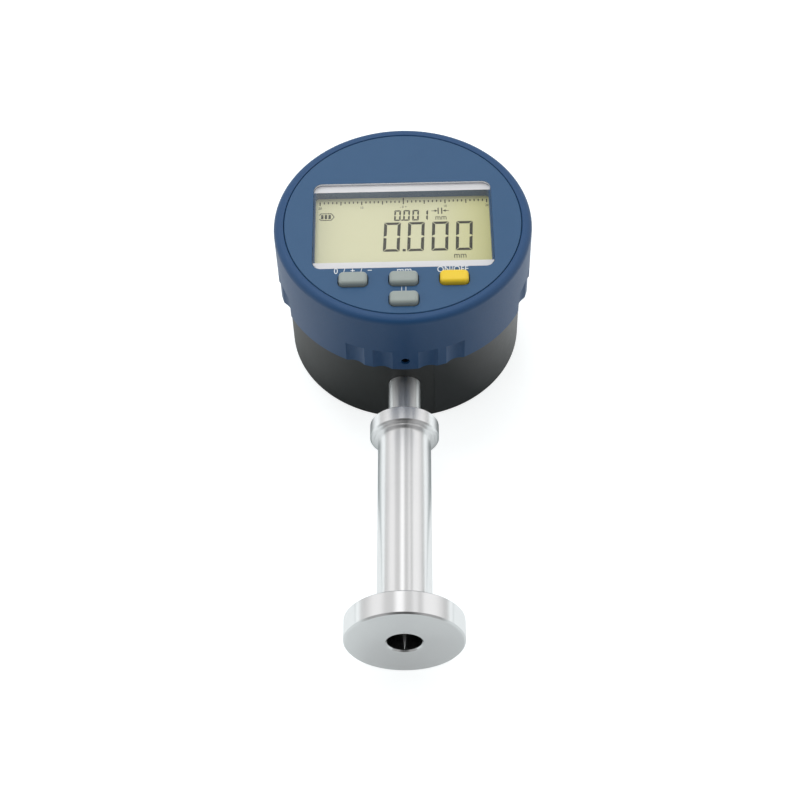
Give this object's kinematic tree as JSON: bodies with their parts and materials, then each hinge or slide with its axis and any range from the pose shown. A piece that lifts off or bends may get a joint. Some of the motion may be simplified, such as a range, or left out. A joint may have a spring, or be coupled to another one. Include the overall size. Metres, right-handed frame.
{
  "type": "surface roughness tester",
  "caption": "Digital surface profile gauge: a round dial head that turns on its case, a spring-loaded needle spindle, and a cylindrical measuring base with a flat foot.",
  "frame": {"origin": "on the dial's axis, on the back face of the case", "axes": "+Z out of the dial's face, +Y away from the foot along the stem, +X to the right as the dial is read"},
  "size_m": [0.0644, 0.1471, 0.0439],
  "materials": {
    "case_black": "matt black moulding",
    "screw_steel": "plated",
    "cell_wrap": "smooth wrap",
    "ground_steel": "ground and polished",
    "bronze": "reamed",
    "satin_aluminium": "fine turned, satin",
    "screw_black": "black oxide",
    "spring_steel": "drawn wire",
    "board_green": "solder mask",
    "chip_black": "moulded",
    "plated_shell": "tin plated",
    "seal_rubber": "matt",
    "needle_steel": "hardened and ground",
    "carriage_plastic": "moulded",
    "scale_glass": "polished",
    "bezel_blue": "fine matt moulding",
    "face_blue": "fine matt moulding",
    "lens_clear": "polished, clear",
    "display_glass": "smooth, reflective display",
    "holder_white": "moulded",
    "strip_rubber": "silicone",
    "switch_black": "moulded",
    "button_grey": "smooth satin moulding",
    "button_yellow": "smooth satin moulding"
  },
  "bodies": {
    "case": {"rear_case": "case_black", "back_cover": "case_black", "back_cover_screws": "screw_steel", "battery_cell": "cell_wrap", "stem": "ground_steel", "stem_bushings": "bronze", "upper_bushing": "bronze", "spindle_cap": "satin_aluminium", "measuring_base": "satin_aluminium", "base_grub_screw": "screw_black", "guide_rod": "ground_steel", "return_spring": "spring_steel", "reader_board": "board_green", "reader_chip": "chip_black", "reader_screws": "screw_steel", "charging_socket": "plated_shell", "dial_seal": "seal_rubber"},
    "spindle": {"spindle": "ground_steel", "extension_rod": "ground_steel", "needle_point": "needle_steel", "stop_bumper": "seal_rubber", "scale_carriage": "carriage_plastic", "carriage_screw": "screw_steel", "encoder_scale": "scale_glass"},
    "dial_head": {"bezel": "bezel_blue", "bezel_grub_screws": "screw_black", "face_panel": "face_blue", "face_screws": "screw_steel", "window_lens": "lens_clear", "lcd_glass": "display_glass", "lcd_holder": "holder_white", "contact_strips": "strip_rubber", "display_board": "board_green", "board_screws": "screw_steel", "controller_chip": "chip_black", "tact_switches": "switch_black"},
    "zero_button": {"zero_button": "button_grey", "zero_plunger": "switch_black"},
    "unit_button": {"unit_button": "button_grey", "unit_plunger": "switch_black"},
    "hold_button": {"hold_button": "button_grey", "hold_plunger": "switch_black"},
    "power_button": {"power_button": "button_yellow", "power_plunger": "switch_black"}
  },
  "joints": [
    {"name": "spindle_slide", "type": "slide", "parent": "case", "child": "spindle", "axis": [0, 1, 0], "range_m": [0, 0.0127], "stiffness_N_per_m": 63, "springref_m": -0.0063, "deforming": ["return_spring"]},
    {"name": "dial_turn", "type": "hinge", "parent": "case", "child": "dial_head", "pos_m": [0, 0, 0], "axis": [0, 0, 1], "range_deg": [-135, 135]},
    {"name": "zero_press", "type": "slide", "parent": "dial_head", "child": "zero_button", "axis": [0, 0, -1], "range_m": [0, 0.0005], "stiffness_N_per_m": 800, "springref_m": -0.0005},
    {"name": "unit_press", "type": "slide", "parent": "dial_head", "child": "unit_button", "axis": [0, 0, -1], "range_m": [0, 0.0005], "stiffness_N_per_m": 800, "springref_m": -0.0005},
    {"name": "hold_press", "type": "slide", "parent": "dial_head", "child": "hold_button", "axis": [0, 0, -1], "range_m": [0, 0.0005], "stiffness_N_per_m": 800, "springref_m": -0.0005},
    {"name": "power_press", "type": "slide", "parent": "dial_head", "child": "power_button", "axis": [0, 0, -1], "range_m": [0, 0.0005], "stiffness_N_per_m": 800, "springref_m": -0.0005}
  ]
}
